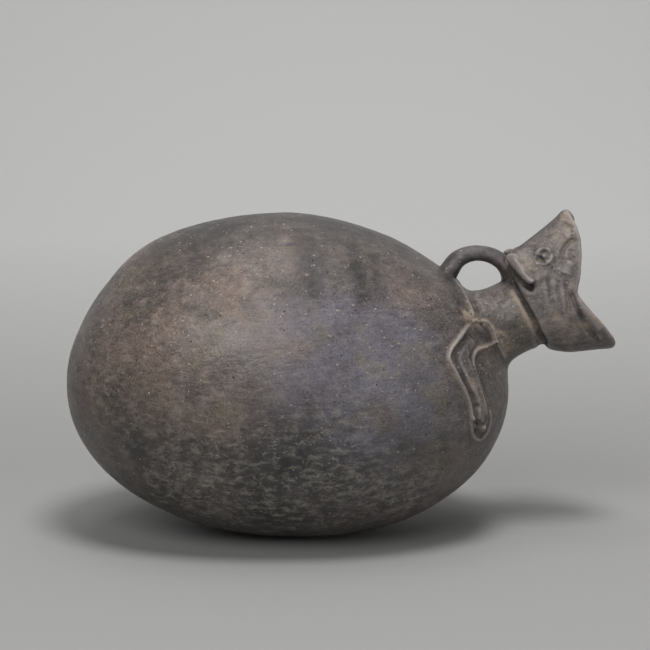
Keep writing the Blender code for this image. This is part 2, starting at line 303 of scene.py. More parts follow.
def turnEdges(piece, chosen):
    # turns the edges among the chosen points so that no face is a sliver
    mesh = piece.data
    corners = np.empty(len(mesh.loops), np.int32)
    mesh.loops.foreach_get("vertex_index", corners)
    starts = np.empty(len(mesh.polygons), np.int32)
    mesh.polygons.foreach_get("loop_start", starts)
    mesh.vertices.foreach_set("select", np.zeros(len(mesh.vertices), bool))
    mesh.edges.foreach_set("select", np.zeros(len(mesh.edges), bool))
    mesh.polygons.foreach_set("select", np.logical_and.reduceat(chosen[corners], starts))
    bpy.context.view_layer.objects.active = piece
    bpy.context.tool_settings.mesh_select_mode = (False, False, True)
    bpy.ops.object.mode_set(mode="EDIT")
    bpy.ops.mesh.beautify_fill(angle_limit=math.pi)
    bpy.ops.object.mode_set(mode="OBJECT")


def findFolds(piece):
    # points of the faces that are turned against the skin round them
    mesh = piece.data
    mesh.calc_loop_triangles()
    corners = np.empty(len(mesh.loop_triangles) * 3, np.int32)
    mesh.loop_triangles.foreach_get("vertices", corners)
    corners = corners.reshape(-1, 3)
    points, normals = readPoints(piece), readNormals(piece)
    first, second, third = (points[corners[:, corner]] for corner in range(3))
    across = np.cross(second - first, third - first)
    across /= np.maximum(np.linalg.norm(across, axis=1), 1e-15)[:, None]
    turned = np.min([(normals[corners[:, corner]] * across).sum(1) for corner in range(3)], axis=0) < 0.35
    return points[np.unique(corners[turned])]


def mendFolds(piece, reach=0.0016, tries=4):
    # rubs the skin smooth round each fold until none is left
    for _ in range(tries):
        folds = findFolds(piece)
        if not len(folds):
            break
        points = readPoints(piece)
        nearest = np.full(len(points), farOff)
        for fold in folds:
            nearest = np.minimum(nearest, np.abs(points - fold).max(1))
        soften(piece, ease((reach - nearest) / reach * 2), 8)
    print("folded points left:", len(findFolds(piece)))


def soften(piece, weight, rounds, strength=0.5):
    # rubs the clay smooth where weight says
    group = piece.vertex_groups.new(name="rubbed")
    for level in range(1, 6):
        chosen = np.flatnonzero((weight > level / 5 - 0.2) & (weight <= level / 5))
        group.add(chosen.tolist(), level / 5, "REPLACE")
    useModifier(piece, "SMOOTH", factor=strength, iterations=rounds, vertex_group="rubbed")
    piece.vertex_groups.clear()


def curvatureOf(piece, rounds):
    # above 0 on ridges, below 0 in hollows
    mesh = piece.data
    ends = np.empty(len(mesh.edges) * 2, np.int32)
    mesh.edges.foreach_get("vertices", ends)
    ends = ends.reshape(-1, 2)
    points, normals = readPoints(piece), readNormals(piece)
    total = len(points)
    count = np.bincount(ends.ravel(), minlength=total)

    def spread(values):
        # each point's mean over its neighbours
        onward = np.bincount(ends[:, 0], values[ends[:, 1]], total)
        backward = np.bincount(ends[:, 1], values[ends[:, 0]], total)
        return (onward + backward) / np.maximum(count, 1)

    smooth = [points[:, axis] for axis in range(3)]
    for _ in range(rounds):
        smooth = [spread(values) for values in smooth]
    bend = ((points - np.stack(smooth, axis=1)) * normals).sum(1)
    return spread(bend)


def countTriangles(piece):
    return len(piece.data.loops) - 2 * len(piece.data.polygons)


# The clay

clayBody = {
    "grain": 0.00070,  # size of the cells that the forms are joined in
    "bodyTriangles": 46000,
    "insideTriangles": 9000,
    "mouthTriangles": 13000,
    "plainSkin": 0.0008,  # what lies this near the egg's surface is its skin
    "innerSkin": 0.0012,
    "evenSkin": 0.0009,  # what lies this near is brought onto it, less so over the last part
    "evenFade": 0.0005,
    "boreDepth": 0.0036,
    "boreEnd": 0.004,
    "strapClear": 0.0085,
    "neckClear": 0.003,
    "lip": 0.0030,
    "reliefUnder": -0.0034,  # heights between which the skin takes the relief
    "reliefOver": 0.0042,
}

foreleg = {
    # the limb's middle line with its half width, and the raised lines along its edges
    "limb": on("body", (0.800, 54.5), (0.768, 61), (0.763, 65.6), (0.780, 71), (0.804, 77.8),
               (0.826, 84.7), (0.844, 91.8), (0.850, 98)),
    "limbHalf": [0.0034, 0.0046, 0.0051, 0.0050, 0.0046, 0.0043, 0.0042, 0.0045],
    "limbHeight": 0.0018,
    "limbEdge": 0.0022,
    "limbFaint": 0.32,  # how much of its height the limb has at the shoulder, and what it gains from there
    "limbGain": 0.68,
    "outer": on("body", (0.820, 36.8), (0.784, 46.5), (0.749, 54.7), (0.712, 62), (0.697, 66.7),
                (0.704, 69.6), (0.735, 75.5), (0.768, 82.6), (0.792, 90.2), (0.802, 98)),
    "channel": on("body", (0.800, 50), (0.762, 57.4), (0.737, 63.4), (0.733, 67.1), (0.757, 73.7),
                  (0.785, 80.7), (0.810, 86.4), (0.824, 91.4)),
    "inner": on("neck", (-0.0024, 102)) + on("body", (0.882, 48.8), (0.847, 54.5), (0.821, 58.9),
                                             (0.810, 63.7), (0.813, 68.3), (0.826, 73.8), (0.843, 79.1),
                                             (0.862, 84.9), (0.880, 91.6), (0.890, 98.2)),
    "loop": on("body", (0.820, 36.8), (0.852, 32)) + on("neck", (-0.0016, 72), (-0.0007, 86),
                                                        (-0.0020, 100.6), (-0.0033, 118.9), (-0.0029, 142)),
    "shoulderPits": [(("body", 0.869, 42.1), 0.0034, 0.0015), (("body", 0.841, 43.3), 0.0024, 0.0008)],
    # the strap's rear foot runs on as a soft ridge to the shoulder, with a hollow behind it
    "footRidge": on("body", (0.745, 6), (0.768, 12), (0.786, 17), (0.812, 27), (0.829, 34)),
    "footHollow": on("body", (0.726, 12.4), (0.744, 26.6), (0.768, 34.2), (0.796, 38.4)),
    "pawRim": on("body", (0.802, 98), (0.801, 102), (0.805, 106.5), (0.818, 111.5), (0.845, 115.5),
                 (0.874, 114.5), (0.890, 108), (0.893, 102), (0.890, 98.2)),
    "reach": 0.0135,
}
legMarks = {
    # each line's width, its height or its depth below 0, and the shares that it fades in and out over
    "outer": (0.00092, 0.0019, 0.2, 0.0),
    "channel": (0.00100, -0.0013, 0.3, 0.0),
    "loop": (0.00085, 0.0014, 0.0, 0.15),
    "footRidge": (0.0018, 0.0012, 0.0, 0.15),
    "footHollow": (0.0019, -0.0009, 0.3, 0.3),
    "inner": (0.00082, 0.0012, 0.0, 0.5),
    "pawRim": (0.0010, 0.0010, 0.0, 0.0),
}
paw = {
    "middle": ("body", 0.849, 105.5),
    "half": 0.0062,
    "height": 0.0011,
    "hollows": [(("body", 0.833, 101.8), 0.0018, 0.0014), (("body", 0.860, 100.4), 0.0010, 0.0009),
                (("body", 0.826, 107.0), 0.0014, 0.0011), (("body", 0.854, 111.8), 0.0012, 0.0010)],
    "knob": (("body", 0.856, 106.9), 0.0013, 0.0015),
}


def baseHeight(points):
    # height over the body and neck as one form, with a fillet between them
    body, _ = aboveBody(points)
    neck, _ = aboveNeck(points)
    soft = neckForm["fillet"]
    low = np.minimum(body, neck)
    return low - soft * np.log(np.exp(-(body - low) / soft) + np.exp(-(neck - low) / soft))


def baseSlope(points):
    # the way out of the joined form
    step = 0.0002
    rises = [baseHeight(points + shift) - baseHeight(points - shift) for shift in np.eye(3) * step]
    slope = np.stack(rises, axis=1)
    return slope / np.linalg.norm(slope, axis=1)[:, None]


def onto(points, height, rounds=3):
    # brings points to a height over the joined form
    for _ in range(rounds):
        points = points + baseSlope(points) * (height - baseHeight(points))[:, None]
    return points


def dent(points, place, radius, side):
    # 1 at the place, fading out round it
    form, first, second = place
    middle = placeOn[form](first, second, side)
    return np.exp(-(np.linalg.norm(points - middle, axis=1) / radius) ** 2)


def limbWidth(share):
    # half the limb's width at a share of its length
    stops = np.linspace(0, 1, len(foreleg["limbHalf"]))
    return np.interp(share, stops, foreleg["limbHalf"])


def forelegHeight(points, side):
    def near(places):
        line = drawLine(places, side)
        return nearLine(points, onto(line, np.zeros(len(line))), foreleg["reach"])

    def mark(name):
        width, rise, fadeIn, fadeOut = legMarks[name]
        distance, share = near(foreleg[name])
        ends = ease(share / fadeIn) if fadeIn else 1.0
        ends = ends * ease((1 - share) / fadeOut) if fadeOut else ends
        return rise * np.exp(-((distance / width) ** 2)) * ends

    limb, share = near(foreleg["limb"])
    height = foreleg["limbHeight"] * ease((limbWidth(share) - limb) / foreleg["limbEdge"] + 0.2)
    height *= foreleg["limbFaint"] + foreleg["limbGain"] * ease((share - 0.25) / 0.4)
    crest = mark("outer")
    height = np.maximum(height, crest) + 0.15 * np.minimum(height, crest)
    for name in ("channel", "loop", "footRidge", "footHollow"):
        height += mark(name)
    for place, radius, depth in foreleg["shoulderPits"]:
        height -= depth * dent(points, place, radius, side)
    height = np.maximum(height, dent(points, paw["middle"], paw["half"], side) * paw["height"])
    for name in ("inner", "pawRim"):
        height += mark(name)
    for place, radius, depth in paw["hollows"]:
        height -= depth * dent(points, place, radius, side)
    place, radius, rise = paw["knob"]
    return height + rise * dent(points, place, radius, side)


def legWeight(points):
    # 1 on the forelegs and round the neck's foot, fading out over the plain body
    best = np.zeros(len(points))
    for side in (-1, 1):
        for places in (foreleg["limb"], foreleg["pawRim"], foreleg["footRidge"][1:]):
            distance, _ = nearLine(points, drawLine(places, side), 0.02)
            best = np.maximum(best, ease((foreleg["reach"] - distance) / 0.003 + 1))
    over, step = aboveNeck(points)
    foot = ease((0.0065 - np.abs(step + 0.001)) / 0.003 + 1) * ease((0.0065 - np.abs(over)) / 0.002 + 1)
    return np.maximum(best, foot)


def makeClay():
    print("joining the forms")
    piece = bpy.data.objects.new("bottleClay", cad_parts["bottle"].data.copy())
    bpy.context.scene.collection.objects.link(piece)
    bpy.context.view_layer.objects.active = piece
    piece.select_set(True)
    bpy.ops.object.mode_set(mode="EDIT")
    bpy.ops.mesh.select_all(action="SELECT")
    bpy.ops.mesh.remove_doubles(threshold=0.00001)
    bpy.ops.object.mode_set(mode="OBJECT")
    useModifier(piece, "REMESH", mode="VOXEL", voxel_size=clayBody["grain"], use_smooth_shade=True)
    useModifier(piece, "SMOOTH", factor=0.5, iterations=3)
    return piece


def sortClay(points):
    # which points lie on the plain outside of the body, on the inside, and in the mouth
    c = clayBody
    body, _ = aboveBody(points)
    hollow, _ = aboveBody(points, bodyForm["wall"])
    neck, step = aboveNeck(points)
    away = points - headBack
    along = away @ neckLine
    bore = (neck < -c["boreDepth"]) & (step > -0.03) & (along < c["boreEnd"])
    inside = ((np.abs(hollow) < c["innerSkin"]) & (body < -0.003)) | bore
    strap = nearLine(points, drawStrap(), 0.012)[0] < c["strapClear"]
    plain = (np.abs(body) < c["plainSkin"]) & (legWeight(points) < 0.02) & ~inside & ~strap
    plain &= neck > c["neckClear"]
    crown, chin, halfWidth = headSection(np.clip(along, 0, None))
    rise = (away @ neckUp - (crown - chin) / 2) / ((crown + chin) / 2 - c["lip"])
    mouth = (along >= c["boreEnd"]) & (rise**2 + (points[:, 1] / (halfWidth - c["lip"])) ** 2 < 1)
    return plain, inside, mouth


def drawStrap():
    # the strap's arch from the shoulder to the nape
    shoulder = onBody(strapForm["seat"], 0)
    nape = headBack - neckLine * strapForm["thickness"] / 5 + neckUp * neckForm["radius"]
    turns = np.linspace(0, math.pi, 25)
    share = (1 - np.cos(turns)) / 2
    rise = np.array([0, 0, strapForm["rise"]]) * np.sin(turns)[:, None]
    return shoulder + (nape - shoulder) * share[:, None] + rise


clay = makeClay()
print("joined:", countTriangles(clay), "triangles")
for which, left in ((1, "insideTriangles"), (0, "bodyTriangles"), (2, "mouthTriangles")):
    chosen = sortClay(readPoints(clay))[which]
    thinFaces(clay, chosen, clayBody[left])
print("thinned:", countTriangles(clay), "triangles")

print("shaping the body and the forelegs")
for rounds in (6, 0):
    points = readPoints(clay)
    height, outward = aboveBody(points)
    near = ease((clayBody["evenSkin"] - np.abs(height)) / clayBody["evenFade"])
    points -= outward * (height * near)[:, None]
    weight = legWeight(points)
    writePoints(clay, points)
    if rounds:
        plain = near * (weight < 0.02)
        turnEdges(clay, plain > 0.5)
        soften(clay, plain, rounds)  # evens out the thinned faces
base = np.full(len(points), -1.0)
some = np.flatnonzero(weight > 0)
base[some] = baseHeight(points[some])
some = some[(base[some] > clayBody["reliefUnder"]) & (base[some] < clayBody["reliefOver"])]
flat = onto(points[some], np.zeros(len(some)))
points[some] += (flat - points[some]) * weight[some, None]
writePoints(clay, points)
rubbed = np.zeros(len(points))
rubbed[some] = weight[some]
soften(clay, rubbed, 4)
points = readPoints(clay)
points[some] += (onto(points[some], np.zeros(len(some))) - points[some]) * weight[some, None]
relief = np.zeros(len(some))
for side in (-1, 1):
    onSide = points[some, 1] * side > 0
    relief[onSide] = forelegHeight(points[some][onSide], side)
points[some] += baseSlope(points[some]) * (relief * weight[some])[:, None]
writePoints(clay, points)

# Marks on the head and neck: a line, its width, and how far it stands out, or sinks in below 0

headMarks = {
    "earUndercut": (on("head", (0.020, 0.98), (0.026, 0.86), (0.042, 0.73), (0.082, 0.585), (0.135, 0.455),
                       (0.175, 0.41)), 0.0016, -0.0024),
    "lobe": (on("head", (0.040, 0.44), (0.085, 0.40), (0.130, 0.33)), 0.0017, 0.0008),
    "collarGroove": (on("neck", (0.0188, 38), (0.0193, 70), (0.0198, 98), (0.0202, 126), (0.0206, 150),
                        (0.0208, 178)), 0.0015, -0.0022),
    "collarBead": (on("neck", (0.0165, 44), (0.0172, 70), (0.0176, 95), (0.0180, 120)), 0.0011, 0.0004),
    "muzzleCrease": (on("head", (0.905, 0.66), (0.842, 0.685), (0.758, 0.660), (0.714, 0.644),
                        (0.652, 0.588)), 0.0009, -0.0009),
    "muzzleFold": (on("head", (0.800, 0.60), (0.770, 0.52), (0.790, 0.43)), 0.0010, -0.0005),
    "muzzlePad": (on("head", (0.80, 0.77), (0.90, 0.76)), 0.0026, 0.0008),
    "cheek": (on("head", (0.73, 0.47), (0.60, 0.33)), 0.0027, 0.0009),
    "browLine": (on("head", (0.56, 0.90), (0.68, 0.87), (0.80, 0.86)), 0.0014, -0.0004),
    "furrowRear": (on("head", (0.396, 0.45), (0.322, 0.20), (0.290, 0.02)), 0.0012, -0.0006),
    "furrowMiddle": (on("head", (0.484, 0.33), (0.440, 0.22), (0.404, 0.10)), 0.0009, -0.0004),
    "furrowFront": (on("head", (0.560, 0.25), (0.500, 0.00), (0.440, -0.22)), 0.0012, -0.0007),
    "lipLine": (on("head", (0.585, 0.070), (0.563, -0.10), (0.563, -0.36), (0.594, -0.62), (0.655, -0.81)),
                0.0009, -0.0009),
    "lipRoll": (on("head", (0.625, -0.05), (0.655, -0.35), (0.725, -0.66)), 0.0015, 0.0007),
    "noseCrease": (on("head", (0.850, 0.93), (0.895, 0.86), (0.945, 0.80)), 0.0009, -0.0006),
}
eyeMarks = {
    "middle": (0.453, 0.712),
    "ring": 0.0041,
    "ringWidth": 0.0008,
    "ringHeight": 0.0003,
    "pits": [(("head", 0.488, 0.768), 0.0013, 0.0013), (("head", 0.401, 0.722), 0.0014, 0.0014),
             (("head", 0.455, 0.650), 0.0008, 0.0006), (("head", 0.545, 0.700), 0.0014, 0.0008)],
    "arc": (on("head", (0.362, 0.690), (0.385, 0.635), (0.430, 0.610)), 0.0008, 0.0005),
}
earFlap = {
    # the ear's outer face slopes down from its rear edge and runs out on the cheek
    "edge": [(0.075, 1.00), (0.085, 0.93), (0.100, 0.84), (0.128, 0.72), (0.162, 0.61), (0.205, 0.525)],
    "height": 0.0036,
    "reach": 0.0105,
    "front": on("head", (0.24, 0.97), (0.26, 0.80), (0.28, 0.62), (0.23, 0.44)),
    "rim": 0.0001,
    "rimWidth": 0.0011,
    "frontRubbed": 0.0056,
}
noseTip = {"middle": (0.925, 0.985), "rubbed": 0.0062, "ball": 0.0034, "swell": 0.0009}
throatCut = {"depth": 0.0021, "reach": 0.30, "rubbed": 0.0060}
strapFeet = (0.0135, 0.010)  # how far round its rear and front foot the joint is rubbed smooth
rubbing = {
    # how often each place is rubbed and how hard
    "ears": (14, 0.6),
    "strapFeet": (16, 0.5),
    "noseAndThroat": (22, 0.6),
    "lips": (7, 0.5),
}


def shapeEars(piece):
    # sets the skin in front of each ear's rear edge to the height of its flap
    points = readPoints(piece)
    height, outward, length, tall = aboveHead(points)
    flat = points - outward * height[:, None]
    lengths, heights = zip(*reversed(earFlap["edge"]))
    front = length - np.interp(tall, heights, lengths)
    for side in (-1, 1):
        edge = drawLine([("head", *place) for place in earFlap["edge"]], side)
        distance, share = nearLine(flat, edge, earFlap["reach"])
        slope = np.clip(1 - distance / earFlap["reach"], 0, 1) ** 1.15
        wanted = earFlap["height"] * slope * (1 - 0.4 * ease((share - 0.6) / 0.4))
        wanted += earFlap["rim"] * np.exp(-((distance / earFlap["rimWidth"]) ** 2))
        weight = ease((1.0 - tall) / 0.09) * ease((tall - 0.43) / 0.07) * ease(front / 0.02)
        onSide = points[:, 1] * side > 0
        chosen = np.flatnonzero((height > -0.0015) & (distance < earFlap["reach"]) & onSide)
        points[chosen] += outward[chosen] * ((wanted - height) * weight)[chosen, None]
    writePoints(piece, points)


def cutThroat(piece):
    # the lower jaw rises a little where it meets the neck
    points = readPoints(piece)
    height, outward, length, tall = aboveHead(points)
    weight = (1 - ease(length / throatCut["reach"])) * ease((length + 0.10) / 0.04)
    weight = weight * ease((-tall - 0.30) / 0.5) * ease((height + 0.0070) / 0.0055)
    writePoints(piece, points - outward * (throatCut["depth"] * weight)[:, None])


def markHead(piece):
    points = readPoints(piece)
    normals = readNormals(piece)
    shift = np.zeros(len(points))
    for side in (-1, 1):
        for places, width, height in headMarks.values():
            distance, share = nearLine(points, drawLine(places, side), 3 * width)
            ends = ease(share / 0.12) * ease((1 - share) / 0.12)
            rise = height * np.exp(-((distance / width) ** 2))
            shift += rise * (0.25 + 0.75 * ends) * (distance < farOff)
        middle = onHead(*eyeMarks["middle"], side)
        away = np.linalg.norm(points - middle, axis=1) - eyeMarks["ring"]
        shift += eyeMarks["ringHeight"] * np.exp(-((away / eyeMarks["ringWidth"]) ** 2))
        places, width, height = eyeMarks["arc"]
        shift += height * np.exp(-((nearLine(points, drawLine(places, side), 0.004)[0] / width) ** 2))
        for place, radius, depth in eyeMarks["pits"]:
            shift -= depth * dent(points, place, radius, side)
    writePoints(piece, points + normals * shift[:, None])


print("rubbing the joints and marking the head")
shapeEars(clay)
cutThroat(clay)
points = readPoints(clay)
rubbed = np.zeros(len(points))
for side in (-1, 1):
    away, _ = nearLine(points, drawLine(earFlap["front"], side), 0.007)
    rubbed = np.maximum(rubbed, ease((earFlap["frontRubbed"] - away) / 0.0025))
soften(clay, rubbed, *rubbing["ears"])

points = readPoints(clay)
strap = drawStrap()
rear, front = (
    ease((reach - np.linalg.norm(points - foot, axis=1)) / 0.004)
    for reach, foot in zip(strapFeet, (strap[0], strap[-1]))
)
soften(clay, np.maximum(rear, front), *rubbing["strapFeet"])

points = readPoints(clay)
noseMiddle = onHead(*noseTip["middle"])
noseMiddle[1] = 0
throat = nearLine(points, np.array([onHead(0, -0.9, side) for side in (-1, 1)]), 0.01)[0]
worn = np.maximum(
    ease((noseTip["rubbed"] - np.linalg.norm(points - noseMiddle, axis=1)) / 0.003),
    ease((throatCut["rubbed"] - throat) / 0.003),
)
soften(clay, worn, *rubbing["noseAndThroat"])

_, _, length, _ = aboveHead(readPoints(clay))
lips = ease((length - 0.45) / 0.1) * np.clip(curvatureOf(clay, 3) / 0.00016, 0, 1)
soften(clay, lips, *rubbing["lips"])

points = readPoints(clay)
normals = readNormals(clay)
swell = noseTip["swell"] * np.exp(-((np.linalg.norm(points - noseMiddle, axis=1) / noseTip["ball"]) ** 2))
writePoints(clay, points + normals * swell[:, None])
markHead(clay)
mendFolds(clay)

print("uneven by hand")
handWork = {
    # size of the clouds, their depth and how far they move the skin
    "hand pressure": (0.022, 1, 0.0007),
    "scraped clay": (0.005, 2, 0.00022),
}
for name, (size, depth, push) in handWork.items():
    texture = bpy.data.textures.new(name, "CLOUDS")
    texture.noise_scale = size
    texture.noise_depth = depth
    useModifier(clay, "DISPLACE", texture=texture, texture_coords="OBJECT", strength=push, mid_level=0.5)
mendFolds(clay)
lowest, highest = (np.array(corner) for corner in cadBox)
writePoints(clay, np.clip(readPoints(clay), lowest, highest))
clay.data.shade_smooth()
print("clay:", countTriangles(clay), "triangles")

# Where the skin is worn, dusty or sooted, and where sheen and shade are painted on it

wearBend = 0.00022  # the bend at which an edge is worn bare or a hollow takes its full painted shade and dust
# how dark the strap is painted, as shade
strapShade = 0.75
farShift = 0.11  # the stains of the far side lie this much further along the body
stains = {
    # share of the body's half length, turn from the back, size and strength
    # a painted sheen: slate-blue patches where the front light glances off the sides
    "slateSheen": [
        (0.19, 80, 0.046, 1.0), (0.42, 92, 0.030, 0.8), (0.02, 62, 0.034, 0.5), (0.52, 66, 0.022, 0.5),
    ],
    "warmth": [
        (-0.46, 60, 0.038, 1.0), (-0.62, 88, 0.034, 1.0), (-0.80, 96, 0.024, 0.9), (-0.30, 86, 0.026, 0.8),
        (-0.18, 44, 0.028, 0.7), (0.30, 34, 0.016, 0.5), (0.54, 38, 0.013, 0.8), (0.02, 34, 0.014, 0.6),
    ],
    # soot patches on the upper sides; the patches along the top and under the body are painted shade, low
    # down partly dark crust too
    "sootAndShade": [
        (0.115, 38, 0.013, 0.6), (0.33, 38, 0.013, 0.5), (0.50, 30, 0.008, 0.5), (-0.46, 28, 0.026, 0.7),
        (-0.84, 118, 0.030, 0.5), (-0.60, 114, 0.024, 0.7), (0.50, 110, 0.022, 0.6),
        (-0.10, 108, 0.020, 0.6), (0.14, 112, 0.022, 0.6), (-0.05, 140, 0.040, 0.4),
        (-0.25, 2, 0.034, 0.45), (0.08, 2, 0.034, 0.45), (0.42, 4, 0.034, 0.45),
    ],
    "crust": [
        (-0.05, 118, 0.030, 0.7), (0.30, 116, 0.026, 0.7), (-0.42, 124, 0.030, 0.7),
        (-0.20, 128, 0.034, 0.8), (0.56, 134, 0.013, 1.0), (0.50, 128, 0.012, 0.9),
        (-0.70, 100, 0.020, 0.4), (0.20, 92, 0.020, 0.3), (0.44, 80, 0.014, 0.3),
        (-0.52, 138, 0.013, 0.9), (0.05, 140, 0.030, 0.7), (-0.80, 84, 0.016, 0.4),
    ],
}

shadeSootAndDust = {
    # painted shade in the creases, grooves and pits, soot bars on the body and pale dust, that lie along
    # the relief: the line, its width and its strength
    # painted shade under the ears, in the collar groove, the leg's channel and hollows, the shoulder pit,
    # the eye pits, the lip line, the muzzle crease and the paw's hollows, with a darker crown line painted
    # as shade
    "paintedShadeAndSoot": [
        (on("head", (0.020, 0.98), (0.026, 0.86), (0.046, 0.73), (0.090, 0.585), (0.150, 0.455)),
         0.0022, 1.0),
        (on("neck", (0.0195, 84), (0.0198, 98), (0.0202, 126), (0.0206, 150), (0.0208, 180)),
         0.0017, 0.9),
        (on("neck", (0.0182, 0), (0.0185, 24), (0.0185, 50)), 0.0030, 0.5),
        (on("head", (0.14, 1.0), (0.50, 1.0), (0.88, 1.0)), 0.0034, 0.9),
        (on("head", (0.06, 1.0), (0.09, 0.90), (0.12, 0.80)), 0.0030, 0.6),
        # soot bars on the body
        (on("body", (0.080, 30), (0.098, 40), (0.108, 50)), 0.0052, 0.85),
        (on("body", (0.150, 33), (0.155, 45)), 0.0030, 0.55),
        (on("body", (0.290, 25), (0.312, 37), (0.330, 52)), 0.0030, 0.80),
        (on("body", (0.375, 28), (0.385, 40)), 0.0026, 0.60),
        (foreleg["channel"], 0.0008, 0.8),
        (foreleg["footHollow"], 0.0026, 0.8),
        (on("body", (0.841, 43.3), (0.872, 42.1), (0.895, 40)), 0.0034, 0.9),
        (on("neck", (0.0020, 86), (0.0060, 90), (0.0100, 92)), 0.0016, 0.5),
        (on("head", (0.585, 0.070), (0.563, -0.10), (0.563, -0.36), (0.620, -0.68)), 0.0014, 0.7),
        (on("head", (0.905, 0.66), (0.842, 0.685), (0.758, 0.660), (0.652, 0.588)), 0.0010, 0.6),
        (on("head", (0.488, 0.768), (0.470, 0.760)), 0.0014, 1.0),
        (on("head", (0.401, 0.722), (0.410, 0.690)), 0.0017, 1.0),
        (on("body", (0.833, 101.8), (0.826, 107.0), (0.850, 111.8)), 0.0016, 0.8),
    ],
    "dust": [
        (on("neck", (0.0163, 44), (0.0170, 70), (0.0176, 95), (0.0180, 112)), 0.0014, 0.8),
        (foreleg["loop"], 0.0011, 0.8),
        (foreleg["inner"][:4], 0.0010, 0.6),
        (foreleg["limb"][4:], 0.0026, 0.55),
        (foreleg["outer"], 0.0010, 0.45),
        (on("body", (0.790, 36), (0.812, 34), (0.835, 33)), 0.0032, 0.9),
        (on("neck", (0.0008, 96), (0.0019, 112), (0.0016, 128)), 0.0026, 0.7),
        (on("body", (0.856, 106.9), (0.858, 107.5)), 0.0014, 0.9),
        (on("head", (0.13, 0.84), (0.18, 0.72), (0.22, 0.60)), 0.0036, 0.25),
        (on("head", (0.28, -0.25), (0.33, -0.42), (0.36, -0.60)), 0.0045, 0.5),
        (on("head", (0.713, -0.25), (0.753, -0.40), (0.782, -0.51)), 0.0014, 0.8),
        (on("head", (0.93, 0.97), (0.90, 0.86), (0.80, 0.80)), 0.0040, 0.5),
        (on("head", (0.545, -0.47), (0.60, -0.50)), 0.0016, 0.6),
    ],
}


def keepValue(piece, name, values):
    # keeps a value from 0 to 1 on each point for the material
    layer = piece.data.attributes.new(name, "FLOAT", "POINT")
    layer.data.foreach_set("value", np.clip(values, 0, 1).astype(np.float32))


print("finding the worn edges and the dusty hollows")
points = readPoints(clay)
bend = curvatureOf(clay, 5)
fineWeight = np.maximum(legWeight(points), ease(((points - neckFoot) @ neckLine + 0.004) / 0.006))
keepValue(clay, "wear", fineWeight * bend / wearBend)
# concave places, which take painted shade and dust
keepValue(clay, "hollow", -fineWeight * bend / wearBend)
for name, patches in stains.items():
    total = np.zeros(len(points))
    for share, degrees, size, strength in patches:
        for side, drift in ((-1, 0.0), (1, farShift)):
            place = onBody(share + drift if share < 0.5 else share, degrees, side)
            total += strength * np.exp(-((np.linalg.norm(points - place, axis=1) / size) ** 2))
    keepValue(clay, name, total)
for name, lines in shadeSootAndDust.items():
    total = np.zeros(len(points))
    for places, width, strength in lines:
        for side in (-1, 1):
            distance, _ = nearLine(points, drawLine(places, side), width * 2.5 + 0.002)
            distance = np.maximum(distance - 0.0008, 0)
            total = np.maximum(total, strength * np.exp(-((distance / width) ** 2)))
    if name == "paintedShadeAndSoot":
        # the whole strap is painted darker, as shade
        onStrap = ease((0.0075 - nearLine(points, strap, 0.012)[0]) / 0.002)
        total = np.maximum(total, strapShade * onStrap)
    keepValue(clay, name, total)


# The materials


class Nodes:
    # short ways to add and join a material's nodes

    def __init__(self, material):
        material.use_nodes = True
        self.tree = material.node_tree
        self.shader = self.tree.nodes["Principled BSDF"]

    def join(self, source, target):
        if hasattr(source, "outputs") or isinstance(source, bpy.types.NodeSocket):
            self.tree.links.new(source, target)
        else:
            target.default_value = source

    def add(self, kind, sockets=None, **settings):
        node = self.tree.nodes.new(kind)
        for name, value in settings.items():
            setattr(node, name, value)
        for name, value in (sockets or {}).items():
            self.join(value, node.inputs[name])
        return node

    def place(self, stretch=(1, 1, 1), turn=(0, 0, 0), shift=(0, 0, 0)):
        source = self.add("ShaderNodeTexCoord").outputs["Object"]
        return self.add(
            "ShaderNodeMapping", {"Vector": source, "Scale": stretch, "Rotation": turn, "Location": shift}
        ).outputs[0]

    def noise(self, scale, detail=4, roughness=0.55, vector=None, distortion=0.0):
        return self.add(
            "ShaderNodeTexNoise",
            {"Vector": vector or self.place(), "Scale": scale, "Detail": detail, "Roughness": roughness,
             "Distortion": distortion},
        ).outputs["Fac"]

    def specks(self, scale, size, vector=None, keep=1.0):
        # small dots, of which only a share is kept
        vector = vector or self.place()
        cells = self.add("ShaderNodeTexVoronoi", {"Vector": vector, "Scale": scale, "Randomness": 1.0})
        dots = self.span(cells.outputs["Distance"], size, size * 0.45)
        if keep >= 1:
            return dots
        lot = self.add("ShaderNodeSeparateColor", {"Color": cells.outputs["Color"]}).outputs[0]
        return self.times(dots, self.math("LESS_THAN", lot, keep))

    def rootlets(self, scale, shift, stretch):
        # thin wandering lines
        wander = self.noise(scale, 2, 0.5, self.place(stretch, (0.3, 0.5, 0.2), shift), 0.2)
        off = self.math("ABSOLUTE", self.math("SUBTRACT", wander, 0.5))
        return self.span(off, 0.010, 0.003)

    def math(self, operation, first, second=0.0):
        node = self.add("ShaderNodeMath", operation=operation)
        self.join(first, node.inputs[0])
        self.join(second, node.inputs[1])
        return node.outputs[0]

    def times(self, first, second):
        return self.math("MULTIPLY", first, second)

    def plus(self, first, second):
        return self.math("ADD", first, second)

    def span(self, value, low, high, bottom=0.0, top=1.0):
        # 0 at low and 1 at high, or the other way round
        node = self.add("ShaderNodeMapRange", {"Value": value, "From Min": low, "From Max": high,
                                                "To Min": bottom, "To Max": top})
        node.clamp = True
        return node.outputs[0]

    def value(self, name):
        node = self.add("ShaderNodeAttribute", attribute_name=name, attribute_type="GEOMETRY")
        return node.outputs["Fac"]

    def blend(self, share, first, second):
        node = self.add("ShaderNodeMix", data_type="RGBA", blend_type="MIX")
        for source, index in ((share, 0), (first, 6), (second, 7)):
            if isinstance(source, tuple):
                source = (*source, 1.0)
            self.join(source, node.inputs[index])
        return node.outputs[2]


